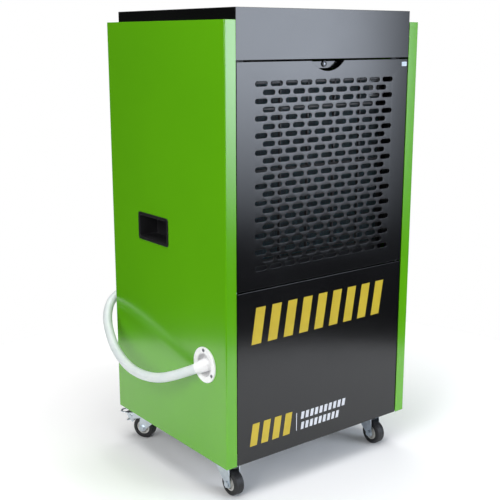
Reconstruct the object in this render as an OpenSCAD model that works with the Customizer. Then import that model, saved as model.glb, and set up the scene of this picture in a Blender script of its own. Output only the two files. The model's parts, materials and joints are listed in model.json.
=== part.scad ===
// Cabinet dehumidifier on four swivel castors: sheet-metal core between two thick side covers,
// tilting slotted intake door, refrigeration coils, centrifugal fan, compressor and drain hose.
// Origin: floor level under the middle of the cabinet. +X right, +Y back, +Z up. Millimetres.

/* [Cabinet] */
// Width of the black core between the side covers
core_w = 450; // [420:5:560]
// Depth of the side covers, front to back
cab_d = 422; // [410:1:520]
// Height of the lid's top above the floor
cab_h = 970; // [900:5:1180]
// Thickness of each side cover
wing_t = 26; // [20:1:34]
// Drop from the lid's top to the side covers' top
wing_drop = 22; // [10:1:34]
// Height of the lid's front skirt
lid_h = 95; // [80:1:120]
// Height of the lower front panel
lower_h = 357; // [345:1:430]
// Setback of the black front from the side covers' front edges
front_inset = 1; // [0:0.5:3]
// Setback of the back panel from the side covers' back edges
back_inset = 5; // [2:1:10]
// Thickness of the sheet metal
sheet = 1.5; // [1:0.1:2]
// Gap between neighbouring panels
seam = 3; // [2:0.5:4]
// Radius of the side covers' outer edges
edge_r = 2.5; // [1:0.5:6]

/* [Intake door] */
// Length of one slot
slot_l = 29; // [20:1:32]
// Width of one slot
slot_w = 9.5; // [6:0.5:12]
// Spacing of the slots along a row
slot_pitch_x = 36.9; // [34:0.1:46]
// Spacing of the rows
slot_pitch_z = 15.95; // [14:0.05:20]
// Plain border round the slots
slot_border = 36; // [30:1:60]
// Width of the finger notch in the door's top edge
notch_w = 85; // [70:1:110]
// Depth of the finger notch
notch_h = 20; // [14:1:24]
// Radius of the cam lock's barrel
lock_r = 6; // [5:0.5:8]

/* [Handles] */
// Length of a recessed handle, front to back
handle_l = 115; // [100:1:130]
// Height of a recessed handle
handle_h = 59; // [50:1:70]
// Depth of the finger pocket
handle_depth = 44; // [36:1:48]
// Distance of the handle's centre behind the middle
handle_y = 43; // [20:1:60]
// Height of the handle's centre above the floor
handle_z = 529.5; // [500:0.5:560]

/* [Drain] */
// Outer diameter of the hose flange
flange_d = 73; // [66:1:80]
// Inner diameter of the flange's cup
cup_d = 47; // [42:1:50]
// Height of the flange's centre above the floor
flange_z = 284.5; // [250:0.5:300]
// Distance of the flange's centre behind the side cover's front edge
flange_back = 70.5; // [60:0.5:80]
// Outer diameter of the drain hose
hose_d = 20; // [16:1:22]

/* [Castors] */
// Radius of the wheels
wheel_r = 26; // [24:0.5:33]
// Width of the tyres
wheel_w = 22; // [18:1:24]
// Overall height of a castor, floor to cabinet
castor_h = 84; // [82:1:110]
// Distance of the wheels behind or before the swivel axis
trail = 25; // [20:1:30]
// Distance of the front swivel axes inside the side covers' outer faces
castor_in_x = 48; // [44:0.5:70]
// Distance of the rear swivel axes inside the side covers' outer faces
castor_in_x_rear = 63.5; // [58:0.5:90]
// Distance of the front swivel axes behind the front edges
castor_in_front = 69.5; // [60:0.5:90]
// Distance of the rear swivel axes before the back edges
castor_in_back = 48; // [46:0.5:90]
// How far the rear left castor is swivelled outwards
rear_left_turn = 29; // [0:1:60]

/* [Fan and coils] */
// Radius of the fan's impeller
fan_r = 88; // [70:1:92]
// Depth of the fan's scroll, front to back
scroll_d = 126; // [100:1:130]
// Width of the air outlet
outlet_w = 160; // [120:1:170]
// Depth of the evaporator, front to back
evap_d = 60; // [40:1:62]
// Depth of the condenser, front to back
cond_d = 48; // [30:1:50]

/* [Controls] */
// Length of the control panel's window in the lid
control_l = 190; // [180:1:230]
// Width of the control panel's window in the lid
control_w = 60; // [50:1:70]
// Radius of a button
button_r = 8; // [6:0.5:9]
// Spacing of the buttons
button_pitch = 26; // [22:1:30]

/* [Hidden] */
$fn = 48;

// Overall half sizes and levels
hw = core_w / 2;
hd = cab_d / 2;
out_w = hw + wing_t;
ground = castor_h;
z_mid = ground + lower_h;
z_lid = cab_h - lid_h;
z_wing = cab_h - wing_drop;
y_front = -hd + front_inset;
y_back = hd - back_inset;
fit_gap = 0.2;
run_gap = 0.05;
cover_gap = 0.5;
panel_gap = 1.5;
panel_hw = hw - panel_gap;
over = 1;

// Frame
post_w = 25;
post_t = 2;
post_x = hw - 5.5;
post_back = y_back - 6;
deck_t = 2;
deck_z = z_mid - 5;
deck_skirt = 18;
pan_t = 2;
pan_h = 25;
lid_lip = 20;

// Door
door_z0 = z_mid + seam / 2;
door_z1 = z_lid - seam / 2;
door_flange = 14;
hinge_in = 8;
hinge_up = 8;
hinge_pin_r = 1.5;
ear_t = 3;
ear_r = 4;
ear_room = 14;
door_swing_r = norm([door_flange - hinge_in, hinge_up]);
post_front = y_front + hinge_in + door_swing_r + 2 * fit_gap;
slot_rows = 2 * floor((door_z1 - door_z0 - 2 * slot_border) / slot_pitch_z / 2) + 1;
slot_cols = floor((core_w - 2 * slot_border) / slot_pitch_x);
notch_r = (notch_w * notch_w / 4 + notch_h * notch_h) / (2 * notch_h);
bracket_back = 13;
bracket_hw = notch_w / 2 + 6;
bracket_h = 13.5;
lock_y = y_front + bracket_back;
lock_z = door_z1 - 6.7;
cam_l = 16;
cam_t = 2;
cam_y = y_front + lid_lip + over;

// Air path, front to back
filter_t = 6;
filter_y = y_front + 24;
evap_y = y_front + 35;
cond_y = evap_y + evap_d + 7;
scroll_y = cond_y + cond_d + 8;
coil_hw = hw - 40;
coil_z0 = z_mid + 40;
coil_z1 = z_lid - 30;
plate_t = 1.5;
plate_flange = 24;
tube_r = 4.8;
bend_r = 12.7;
scroll_t = 1.5;
scroll_r0 = fan_r + 10;
scroll_grow = 40;
scroll_r1 = scroll_r0 + scroll_grow;
fan_x = scroll_r1 - outlet_w / 2;
fan_z = z_mid + scroll_r1 + 68;
inlet_r = fan_r - 16;
shaft_r = 6;
motor_r = 56;
motor_l = 78;
panel_z = cab_h - sheet;
grille_h = 12;
grille_frame = 7;
grille_bars = 15;

// Controls
control_y = y_front + 74;
bezel_t = 3;
window_x = 10 - control_l / 2;
window_l = button_x(0) - button_r - 6 - window_x;
window_w = 32;
board_drop = 13.4;
board_t = 1.6;
button_collar_t = 1.8;
button_stem_r = 3;
button_travel = 1;

// Lower compartment
comp_x = 50;
comp_y = 40;
comp_r = 62;
comp_h = 225;
comp_edge_r = 22;
foot_h = 12;
foot_t = 4;
foot_w = 26;
foot_pcd_r = 78;
stem_r = 4;
comp_z = ground + pan_t + foot_h;
acc_r = 26;
acc_h = 130;
acc_edge_r = 12;
acc_z = ground + 90;
strap_h = 20;
acc_x = comp_x + comp_r + acc_r + 8;
pipe_r = 5;
pipe_bend = 9;
pipe_x = coil_hw + 12;
suct_y = comp_y - 60;
suct_z = coil_z0 + 4 * bend_r;
disc_z = coil_z0 + 8 * bend_r;
drain_r = 9;
flange_y = -hd + flange_back;
drain_x = coil_hw - 5;
elec_x = -134;
elec_w = 108;
elec_d = 80;
elec_h = 190;
elec_z = ground + 100;

// Hose flange, gland and clip
flange_t = 4;
cup_depth = 15;
cup_t = 1.5;
flange_screw_r = 31;
gland_x = -150;
gland_z = ground + 56;
gland_bore_r = 5;
gland_r = 11;
gland_in = 10;
gland_out = 18;
clip_x = -150;
clip_z = 350;
clip_stand = 34;
clip_w = 12;
clip_t = 2.5;

// Route of the drain hose outside the cabinet, from the flange's cup to the coil on the floor
hose_route = [[-245, -144, 287], [-255, -134, 280], [-267, -120, 272], [-280, -103, 263],
    [-293, -82, 253], [-304, -56, 244], [-312, -26, 239], [-318, 6, 239], [-320, 40, 243],
    [-318, 76, 252], [-313, 112, 265], [-304, 146, 282], [-293, 176, 299], [-278, 202, 316],
    [-258, 223, 331], [-235, 235, 341], [-210, 239, 347], [-186, 240, 350], [-164, 240, 350],
    [-136, 240, 350], [-108, 240, 345], [-84, 240, 331], [-66, 240, 310], [-56, 240, 284],
    [-52, 240, 250], [-51, 240, 215], [-50, 240, 180], [-50, 243, 147], [-50, 252, 114],
    [-50, 269, 82], [-50, 293, 57], [-50, 322, 40], [-50, 352, 32], [-50, 380, 30]];
coil_r = 110;
coil_x = hose_route[len(hose_route) - 1][0] + coil_r;
coil_y = hose_route[len(hose_route) - 1][1];

// Castors
top_t = 2.5;
top_l = 64;
top_w = 60;
race_r = 21;
king_r = 5;
crown_t = 3;
race_h = 6.5;
crown_z = ground - top_t - race_h - crown_t - 5;
leg_gap = wheel_w / 2 + 1.5;
leg_t = 2;
axle_r = 4;
axle_head = 4.5;
foot_r = 9;
rim_r = wheel_r - 10;
rim_band = 3;
hub_r = 9;
rim_hole_at = (hub_r + rim_r - rim_band) / 2;
rim_hole_r = 0.29 * (rim_r - rim_band - hub_r);
castor_bolt_x = 23;
castor_bolt_y = 21;
bolt_r = 3;
pedal_r = 3;
pedal_y = wheel_r + 3.4;
pedal_z = wheel_r + 25.6;
pedal_l = 23;
loop_r = 11;
shoe_drop = 17 - 0.173 * wheel_r;

BLACK = "#1b1c20";
GREEN = "#58a812";
ZINC = "#b4bcc4";
GALV = "#c3c7ca";
WHITE = "#ececf0";
COPPER = "#b8703c";

// --- helpers -----------------------------------------------------------------------------

function unit(v) = v / norm(v);

// Box from one corner to the opposite one
module block(a, b) {
    translate([min(a[0], b[0]), min(a[1], b[1]), min(a[2], b[2])])
        cube([abs(b[0] - a[0]), abs(b[1] - a[1]), abs(b[2] - a[2])]);
}

// Left-right copies
module both_sides() {
    children();
    mirror([1, 0, 0]) children();
}

// Flat shape drawn as x and z, given a thickness towards +Y from y
module front_plate(y, t) {
    translate([0, y + t, 0]) rotate([90, 0, 0]) linear_extrude(t) children();
}

// Flat shape drawn as y and z, given a thickness towards +X from x
module side_plate(x, t) {
    translate([x, 0, 0]) rotate([90, 0, 90]) linear_extrude(t) children();
}

// Cylinder along Y from y0 to y1
module y_rod(x, y0, y1, z, r) {
    translate([x, y1, z]) rotate([90, 0, 0]) cylinder(h = y1 - y0, r = r);
}

// Cylinder along X from x0 to x1
module x_rod(x0, x1, y, z, r) {
    translate([x0, y, z]) rotate([0, 90, 0]) cylinder(h = x1 - x0, r = r);
}

module slot2(l, w) {
    square([l - w, w], center = true);
    for (s = [-1, 1]) translate([s * (l - w) / 2, 0]) circle(d = w);
}

module round_rect2(l, w, r) {
    square([l - 2 * r, w], center = true);
    square([l, w - 2 * r], center = true);
    for (i = [-1, 1], j = [-1, 1]) translate([i * (l / 2 - r), j * (w / 2 - r)]) circle(r);
}

// Round bar between two points
module rod(a, b, r) {
    d = b - a;
    translate(a) rotate([0, acos(d[2] / norm(d)), atan2(d[1], d[0])]) cylinder(h = norm(d), r = r);
}

// Places children so that their own X, Y and Z run along ex, ey and ez, from the point c
module frame_at(c, ex, ey, ez) {
    multmatrix([for (i = [0 : 2]) [ex[i], ey[i], ez[i], c[i]]]) children();
}

// Tube with square turns, each rounded to the radius bend; every leg lies along an axis
module pipe(pts, r, bend) {
    n = len(pts) - 1;
    for (i = [0 : n - 1]) {
        d = unit(pts[i + 1] - pts[i]);
        rod(pts[i] + (i > 0 ? bend : 0) * d, pts[i + 1] - (i < n - 1 ? bend : 0) * d, r);
    }
    for (i = [1 : n - 1]) {
        u = unit(pts[i] - pts[i - 1]);
        v = unit(pts[i + 1] - pts[i]);
        frame_at(pts[i] + bend * (v - u), -v, u, cross(-v, u)) rotate_extrude(angle = 90)
            translate([bend, 0]) circle(r);
    }
}

// --- cabinet -----------------------------------------------------------------------------

// Floor tray of the whole cabinet; the side covers and panels close round its rim
module base_pan() {
    x1 = out_w - sheet - fit_gap;
    y0 = y_front + sheet + fit_gap;
    y1 = y_back - sheet - fit_gap;
    color(GALV) difference() {
        block([-x1, y0, ground], [x1, y1, ground + pan_h]);
        block([-x1 + pan_t, y0 + pan_t, ground + pan_t], [x1 - pan_t, y1 - pan_t, ground + pan_h + over]);
        at_castor_bolts() translate([0, 0, ground - over]) cylinder(h = pan_t + 2 * over, r = bolt_r + 0.3);
    }
}

module corner_posts() {
    color(BLACK) both_sides() for (back = [false, true]) {
        y = back ? post_back : post_front;
        in = back ? -1 : 1;
        h = z_lid + seam / 2 - fit_gap;
        z0 = ground + pan_t;
        difference() {
            block([post_x, y, z0], [post_x - post_w, y + in * post_w, h]);
            block([post_x - post_t, y + in * post_t, z0 - over],
                [post_x - post_w - over, y + in * (post_w + over), h + over]);
        }
    }
}

module mid_deck() {
    x1 = post_x - post_t - fit_gap;
    y0 = post_front + post_t + fit_gap;
    y1 = post_back - post_t - fit_gap;
    color(BLACK) difference() {
        block([-x1, y0, deck_z - deck_skirt], [x1, y1, deck_z]);
        block([-x1 + deck_t, y0 + deck_t, deck_z - deck_skirt - over], [x1 - deck_t, y1 - deck_t, deck_z - deck_t]);
        for (p = [[pipe_x, comp_y, pipe_r + 4], [pipe_x, suct_y, pipe_r + 4], [-drain_x, flange_y, drain_r + 2]])
            translate([p[0], p[1], deck_z - deck_t - over]) cylinder(h = deck_t + 2 * over, r = p[2]);
    }
}

// Side cover: a deep tray, open towards the core and at its foot, with rounded outer vertical edges
module side_cover() {
    x0 = hw + cover_gap;
    difference() {
        translate([0, 0, ground]) linear_extrude(z_wing - ground) {
            translate([x0, -hd]) square([wing_t - cover_gap - edge_r, cab_d]);
            translate([x0, -hd + edge_r]) square([wing_t - cover_gap, cab_d - 2 * edge_r]);
            for (s = [-1, 1]) translate([out_w - edge_r, s * (hd - edge_r)]) circle(edge_r);
        }
        block([x0 - over, -hd + sheet, ground - over], [out_w - sheet, hd - sheet, z_wing - sheet]);
        side_plate(out_w - 2 * sheet, 3 * sheet) translate([handle_y, handle_z])
            round_rect2(handle_l - 8, handle_h - 8, 5);
    }
}

module left_side_cover() {
    color(GREEN) difference() {
        mirror([1, 0, 0]) side_cover();
        x_rod(-out_w - over, -out_w + 2 * sheet, flange_y, flange_z, cup_d / 2 + cup_t + 1);
    }
}

module right_side_cover() {
    color(GREEN) side_cover();
}

// Moulded handle pocket with a thin bevelled rim lying on the cover's outer face
module handle_cup() {
    x0 = out_w - handle_depth;
    difference() {
        union() {
            side_plate(out_w, 1.5) translate([handle_y, handle_z]) round_rect2(handle_l, handle_h, 6);
            side_plate(x0, handle_depth + 0.5) translate([handle_y, handle_z])
                round_rect2(handle_l - 9, handle_h - 9, 5);
        }
        side_plate(x0 + 2, handle_depth) translate([handle_y, handle_z])
            round_rect2(handle_l - 13, handle_h - 13, 4);
    }
}

module left_handle_cup() {
    color(BLACK) mirror([1, 0, 0]) handle_cup();
}

module right_handle_cup() {
    color(BLACK) handle_cup();
}

// Flat front or back sheet with its side returns above the floor tray's rim; inward is +1 when
// the returns run to +Y
module sheet_panel(y, z0, z1, inward, depth) {
    block([-panel_hw, y, z0], [panel_hw, y + inward * sheet, z1]);
    both_sides() block([panel_hw, y, z0 + pan_h + over], [panel_hw - sheet, y + inward * depth, z1]);
}

module back_panel() {
    color(BLACK) difference() {
        sheet_panel(y_back, ground, z_lid - fit_gap, -1, 5);
        front_plate(y_back - 2 * sheet, 3 * sheet) for (r = [0 : 7], s = [-1, 1])
            translate([s * 95 + 60, ground + 90 + r * 22]) slot2(100, 7);
        y_rod(gland_x, y_back - 4 * sheet, y_back + over, gland_z, gland_r - 2 + fit_gap);
    }
}

module lower_front_panel() {
    color(BLACK) union() {
        sheet_panel(y_front, ground, z_mid - seam / 2, 1, 12);
        block([-panel_hw, y_front, z_mid - seam / 2], [panel_hw, y_front + 15, z_mid - seam / 2 - sheet]);
    }
}

module lid() {
    color(BLACK) difference() {
        block([-hw, y_front, z_lid + seam / 2], [hw, y_back, cab_h]);
        block([-hw + sheet, y_front + sheet, z_lid + seam / 2 + sheet], [hw - sheet, y_back - sheet, cab_h - sheet]);
        block([-hw + lid_lip, y_front + lid_lip, z_lid], [hw - lid_lip, y_back - lid_lip, z_lid + 3 * seam]);
        block([-control_l / 2, control_y - control_w / 2, cab_h - 2 * sheet],
            [control_l / 2, control_y + control_w / 2, cab_h + over]);
        block([-outlet_w / 2, scroll_y + 4, cab_h - 2 * sheet], [outlet_w / 2, scroll_y + scroll_d - 4, cab_h + over]);
    }
}

module outlet_grille() {
    m = grille_frame;
    y0 = scroll_y + 4;
    y1 = scroll_y + scroll_d - 4;
    pitch = (y1 - y0) / grille_bars;
    z1 = panel_z;
    color(BLACK) union() {
        difference() {
            block([-outlet_w / 2 - m, y0 - m, z1 - 3], [outlet_w / 2 + m, y1 + m, z1]);
            block([-outlet_w / 2, y0, z1 - 4], [outlet_w / 2, y1, z1 + over]);
        }
        for (i = [1 : grille_bars - 1])
            block([-outlet_w / 2 - m / 2, y0 + i * pitch - 1, z1 - grille_h],
                [outlet_w / 2 + m / 2, y0 + i * pitch + 1, z1]);
        for (s = [-1, 0, 1])
            block([s * outlet_w / 4 - 1.5, y0 - m / 2, z1 - 5], [s * outlet_w / 4 + 1.5, y1 + m / 2, z1 - 2]);
    }
}

// --- controls ----------------------------------------------------------------------------

function button_x(i) = control_l / 2 - 24 - button_pitch * (3 - i);

// Rectangle in the control panel that the display window fills
module window2(gap) {
    translate([window_x + gap, control_y - window_w / 2 + gap]) square([window_l - 2 * gap, window_w - 2 * gap]);
}

module control_panel() {
    m = 6;
    color(BLACK) difference() {
        block([-control_l / 2 - m, control_y - control_w / 2 - m, panel_z - bezel_t],
            [control_l / 2 + m, control_y + control_w / 2 + m, panel_z]);
        for (i = [0 : 3]) translate([button_x(i), control_y, panel_z - bezel_t - over])
            cylinder(h = bezel_t + 2 * over, r = button_r + fit_gap);
        translate([0, 0, panel_z - bezel_t - over]) linear_extrude(bezel_t + 2 * over) window2(0);
    }
}

module display_window() {
    color("#2a3a44") translate([0, 0, panel_z - bezel_t]) linear_extrude(bezel_t - 0.5) window2(fit_gap);
}

module control_board() {
    z = panel_z - board_drop;
    color("#1d5a35") union() {
        block([-control_l / 2, control_y - control_w / 2, z - board_t], [control_l / 2, control_y + control_w / 2, z]);
        for (i = [0 : 3]) translate([button_x(i), control_y, z]) cylinder(h = 5, r = button_stem_r);
        for (i = [-1, 1], j = [-1, 1]) translate([i * (control_l / 2 - 4), control_y + j * (control_w / 2 - 4), z - 0.1])
            cylinder(h = board_drop - bezel_t + 0.1, r = button_stem_r);
    }
}

// Key with a collar under the panel; the gap above its switch is longer than its travel
module button(i) {
    z0 = panel_z - bezel_t - button_collar_t - fit_gap;
    color("#d8dadd") translate([button_x(i), control_y, 0]) union() {
        translate([0, 0, z0]) cylinder(h = panel_z + button_travel + 0.2 - z0, r = button_r);
        translate([0, 0, z0]) cylinder(h = button_collar_t, r = button_r + 1.6);
        translate([0, 0, z0 - 1.8]) cylinder(h = 2, r = button_stem_r);
    }
}

// --- intake door -------------------------------------------------------------------------

module grille_door() {
    zc = (door_z0 + door_z1) / 2;
    color(BLACK) difference() {
        union() {
            front_plate(y_front, sheet) difference() {
                translate([-panel_hw, door_z0]) square([2 * panel_hw, door_z1 - door_z0]);
                for (r = [0 : slot_rows - 1]) {
                    n = slot_cols - r % 2;
                    for (c = [0 : n - 1])
                        translate([(c - (n - 1) / 2) * slot_pitch_x, zc + (r - (slot_rows - 1) / 2) * slot_pitch_z])
                            slot2(slot_l, slot_w);
                }
            }
            both_sides() block([panel_hw, y_front + sheet / 2, door_z0], [panel_hw - sheet, y_front + door_flange, door_z1]);
            block([-panel_hw + ear_room, y_front + sheet / 2, door_z0],
                [panel_hw - ear_room, y_front + door_flange, door_z0 + sheet]);
            block([-panel_hw, y_front + sheet / 2, door_z1 - sheet], [panel_hw, y_front + door_flange, door_z1]);
        }
        y_rod(0, y_front - over, y_front + door_flange + over, door_z1 + notch_r - notch_h, notch_r);
        both_sides() x_rod(panel_hw - 2 * sheet, panel_hw + over, y_front + hinge_in, door_z0 + hinge_up, hinge_pin_r + run_gap);
    }
}

// Ears on the lower panel's top edge with the pins that the door tilts on
module door_hinges() {
    x0 = panel_hw - sheet - 1 - ear_t;
    y = y_front + hinge_in;
    z = door_z0 + hinge_up;
    color(ZINC) both_sides() union() {
        side_plate(x0, ear_t) union() {
            translate([y, z]) circle(ear_r);
            translate([y, z_mid - seam / 2]) square([ear_r, z - z_mid + seam / 2]);
        }
        x_rod(x0 + 1, panel_hw, y, z, hinge_pin_r);
    }
}

// Pan behind the finger notch that carries the cam lock
module lock_bracket() {
    y0 = y_front + sheet;
    color(BLACK) difference() {
        union() {
            block([-bracket_hw, lock_y, door_z1 - sheet - bracket_h], [bracket_hw, lock_y + sheet, door_z1 - sheet - 0.1]);
            both_sides() block([bracket_hw, y0, door_z1 - sheet - bracket_h], [bracket_hw - sheet, lock_y + sheet, door_z1 - sheet - 0.1]);
        }
        y_rod(0, lock_y - over, lock_y + 3, lock_z, lock_r - 1 + run_gap);
    }
}

// Barrel with its face flange in front of the bracket, and the cam behind it
module door_lock() {
    color(ZINC) union() {
        y_rod(0, lock_y - 1.5, lock_y - 0.1, lock_z, lock_r);
        y_rod(0, lock_y - 1, cam_y + cam_t, lock_z, lock_r - 1);
        block([0, cam_y, lock_z - 4], [cam_l, cam_y + cam_t, lock_z + 4]);
    }
}

// --- air path ----------------------------------------------------------------------------

module air_filter() {
    z1 = coil_z1 - 4;
    bar = 8;
    x1 = coil_hw - 4;
    rows = 6;
    cols = 5;
    color("#2b2e33") union() {
        difference() {
            block([-x1, filter_y, coil_z0], [x1, filter_y + filter_t, z1]);
            for (i = [0 : cols - 1], j = [0 : rows - 1]) {
                pw = (2 * x1 - bar) / cols;
                ph = (z1 - coil_z0 - bar) / rows;
                block([-x1 + bar + i * pw, filter_y - over, coil_z0 + bar + j * ph],
                    [-x1 + (i + 1) * pw, filter_y + filter_t / 2, coil_z0 + (j + 1) * ph]);
            }
        }
        both_sides() block([x1 - 2, post_front + post_t, coil_z0 + 20], [post_x - post_w + 8, filter_y + 2, coil_z0 + 50]);
    }
}

module evaporator_fins() {
    color("#4d8a94") block([-coil_hw, evap_y + 2, coil_z0 + 1], [coil_hw, evap_y + evap_d - 2, coil_z1 - 1]);
}

module condenser_fins() {
    color("#9aa4aa") block([-coil_hw, cond_y + 2, coil_z0 + 1], [coil_hw, cond_y + cond_d - 2, coil_z1 - 1]);
}

module coil_end_plates() {
    color(GALV) both_sides() union() {
        block([coil_hw, evap_y, coil_z0], [coil_hw + plate_t, cond_y + cond_d, coil_z1]);
        block([coil_hw, evap_y, coil_z0], [coil_hw + plate_flange, evap_y + plate_t, coil_z1]);
    }
}

module coil_tubes() {
    bends = floor((coil_z1 - coil_z0) / (4 * bend_r));
    rows = [evap_y + evap_d * 0.3, evap_y + evap_d * 0.7, cond_y + cond_d / 2];
    color(COPPER) both_sides() for (y = rows, i = [0 : bends - 1])
        frame_at([coil_hw + plate_t, y, coil_z0 + (2 * i + 1) * 2 * bend_r], [0, 0, 1], [1, 0, 0], [0, 1, 0])
            rotate_extrude(angle = 180) translate([bend_r, 0]) circle(tube_r);
}

module drip_tray() {
    z0 = deck_z + fit_gap;
    y0 = evap_y - 4;
    y1 = cond_y + cond_d + 4;
    x1 = coil_hw + 8;
    color(BLACK) difference() {
        union() {
            difference() {
                block([-x1, y0, z0], [x1, y1, coil_z0 - fit_gap]);
                block([-x1 + 2, y0 + 2, z0 + 2], [x1 - 2, y1 - 2, coil_z0 + over]);
            }
            translate([-drain_x, flange_y, z0]) cylinder(h = 10, r = drain_r + 4);
        }
        translate([-drain_x, flange_y, z0 - over]) cylinder(h = 14, r = drain_r);
        both_sides() block([coil_hw + 2, y0 + 3, coil_z0 - 6], [coil_hw + 10, y1 - 3, coil_z0 + over]);
    }
}

module drain_pipe() {
    color("#c9cdd2") difference() {
        pipe([[-drain_x, flange_y, deck_z + 9], [-drain_x, flange_y, flange_z],
            [-out_w + cup_depth - flange_t + 4 + fit_gap, flange_y, flange_z]], drain_r - 0.1, 20);
        pipe([[-drain_x, flange_y, deck_z + 10], [-drain_x, flange_y, flange_z],
            [-out_w + cup_depth - flange_t + 3, flange_y, flange_z]], drain_r - 2, 20);
    }
}

// Spiral outline of the scroll with its straight outlet to the lid; grow = -wall for the air space
module scroll2(grow) {
    a0 = acos((outlet_w - scroll_r1) / scroll_r0);
    sweep = 180 + a0;
    steps = 36;
    top = panel_z - grille_h - 1 - fan_z + (grow < 0 ? over : 0);
    bottom_pts = [for (i = [0 : steps]) let (a = a0 - sweep * i / steps, r = scroll_r0 + scroll_grow * i / steps + grow)
        [r * cos(a), r * sin(a)]];
    polygon(concat([[outlet_w - scroll_r1 + grow, top]], bottom_pts, [[-scroll_r1 - grow, top]]));
}

module fan_scroll() {
    color("#33363b") difference() {
        translate([fan_x, 0, fan_z]) front_plate(scroll_y, scroll_d) scroll2(0);
        translate([fan_x, 0, fan_z]) front_plate(scroll_y + scroll_t, scroll_d - 2 * scroll_t) scroll2(-scroll_t);
        y_rod(fan_x, scroll_y - over, scroll_y + 2 * scroll_t, fan_z, inlet_r);
        y_rod(fan_x, scroll_y + scroll_d - 2 * scroll_t, scroll_y + scroll_d + over, fan_z, shaft_r + 4);
    }
}

module fan_impeller() {
    y0 = scroll_y + 12;
    y1 = scroll_y + scroll_d - 14;
    blades = 30;
    color("#26282c") union() {
        y_rod(fan_x, y1 - 3, y1, fan_z, fan_r);
        difference() {
            y_rod(fan_x, y0, y0 + 5, fan_z, fan_r);
            y_rod(fan_x, y0 - over, y0 + 6, fan_z, fan_r - 14);
        }
        translate([fan_x, 0, fan_z]) for (i = [0 : blades - 1]) rotate([0, i * 360 / blades, 0])
            translate([fan_r - 7, 0, 0]) rotate([0, 30, 0]) block([-6, y0 + 1, -0.8], [6, y1 - 1, 0.8]);
        y_rod(fan_x, y1 - 24, y1 + 6, fan_z, 16);
        y_rod(fan_x, y1 - 30, scroll_y + scroll_d + motor_l - 12, fan_z, shaft_r);
    }
}

module fan_motor() {
    y0 = scroll_y + scroll_d;
    color("#8b9096") difference() {
        union() {
            y_rod(fan_x, y0, y0 + 3, fan_z, motor_r + 12);
            y_rod(fan_x, y0 + 3, y0 + motor_l - 8, fan_z, motor_r);
            y_rod(fan_x, y0 + motor_l - 8, y0 + motor_l, fan_z, motor_r - 12);
        }
        y_rod(fan_x, y0 - over, y0 + motor_l - 11, fan_z, shaft_r + run_gap);
    }
}

// --- lower compartment -------------------------------------------------------------------

// Upright shell with rounded ends, its origin at the middle of its bottom
module shell(r, h, edge) {
    rotate_extrude() {
        square([r - edge, h]);
        translate([0, edge]) square([r, h - 2 * edge]);
        for (z = [edge, h - edge]) translate([r - edge, z]) circle(edge);
    }
}

module at_feet() {
    for (i = [0 : 2]) translate([comp_x, comp_y, 0]) rotate([0, 0, 60 + i * 120]) children();
}

module compressor() {
    color("#202226") union() {
        translate([comp_x, comp_y, comp_z + foot_t]) shell(comp_r, comp_h, comp_edge_r);
        at_feet() translate([0, 0, comp_z]) difference() {
            block([0, -foot_w / 2, 0], [foot_pcd_r + 10, foot_w / 2, foot_t]);
            translate([foot_pcd_r, 0, -over]) cylinder(h = foot_t + 2 * over, r = stem_r);
        }
        translate([comp_x, comp_y, comp_z]) cylinder(h = 10, r = comp_r - 14);
        translate([comp_x + 20, comp_y - 20, comp_z + comp_h]) cylinder(h = 14, r = 14);
    }
}

module accumulator() {
    z = acc_z + acc_h / 2;
    color("#202226") union() {
        translate([acc_x, comp_y, acc_z]) shell(acc_r, acc_h, acc_edge_r);
        block([comp_x + comp_r - 3, comp_y - 8, z - strap_h / 2], [acc_x - acc_r + 3, comp_y + 8, z + strap_h / 2]);
    }
}

// Rubber mounts with their stems and the washers that hold the compressor's feet down
module compressor_feet() {
    color("#141414") at_feet() translate([foot_pcd_r, 0, ground + pan_t]) union() {
        cylinder(h = foot_h, r = 11);
        cylinder(h = foot_h + foot_t + 4, r = stem_r - fit_gap);
        translate([0, 0, foot_h + foot_t]) cylinder(h = 4, r = 8);
    }
}

module refrigerant_pipes() {
    z_comp = comp_z + foot_t + comp_h;
    z_acc = acc_z + acc_h;
    disc_run = z_comp + 40;
    suct_run = z_comp + 18;
    cond_mid = cond_y + cond_d / 2;
    evap_mid = evap_y + evap_d / 2;
    color(COPPER) union() {
        pipe([[comp_x, comp_y, z_comp], [comp_x, comp_y, disc_run], [pipe_x, comp_y, disc_run],
            [pipe_x, comp_y, disc_z], [pipe_x, cond_mid, disc_z], [coil_hw + plate_t, cond_mid, disc_z]],
            pipe_r, pipe_bend);
        pipe([[acc_x, comp_y, z_acc], [acc_x, comp_y, suct_run], [acc_x, suct_y, suct_run],
            [pipe_x, suct_y, suct_run], [pipe_x, suct_y, suct_z], [pipe_x, evap_mid, suct_z],
            [coil_hw + plate_t, evap_mid, suct_z]], pipe_r, pipe_bend);
    }
}

// Box for the contactor and the start capacitor, with its lid and its cable entry
module electrical_box() {
    y1 = y_back - sheet;
    x0 = elec_x - elec_w / 2;
    x1 = elec_x + elec_w / 2;
    lip = 4;
    color("#8e949a") union() {
        block([x0, y1 - elec_d, elec_z], [x1, y1, elec_z + elec_h]);
        block([x0 - lip, y1 - elec_d - lip, elec_z - lip], [x1 + lip, y1 - elec_d, elec_z + elec_h + lip]);
        translate([elec_x, y1 - elec_d / 2, elec_z - 12]) cylinder(h = 12, r = 9);
    }
}

// --- drain hose --------------------------------------------------------------------------

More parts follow.
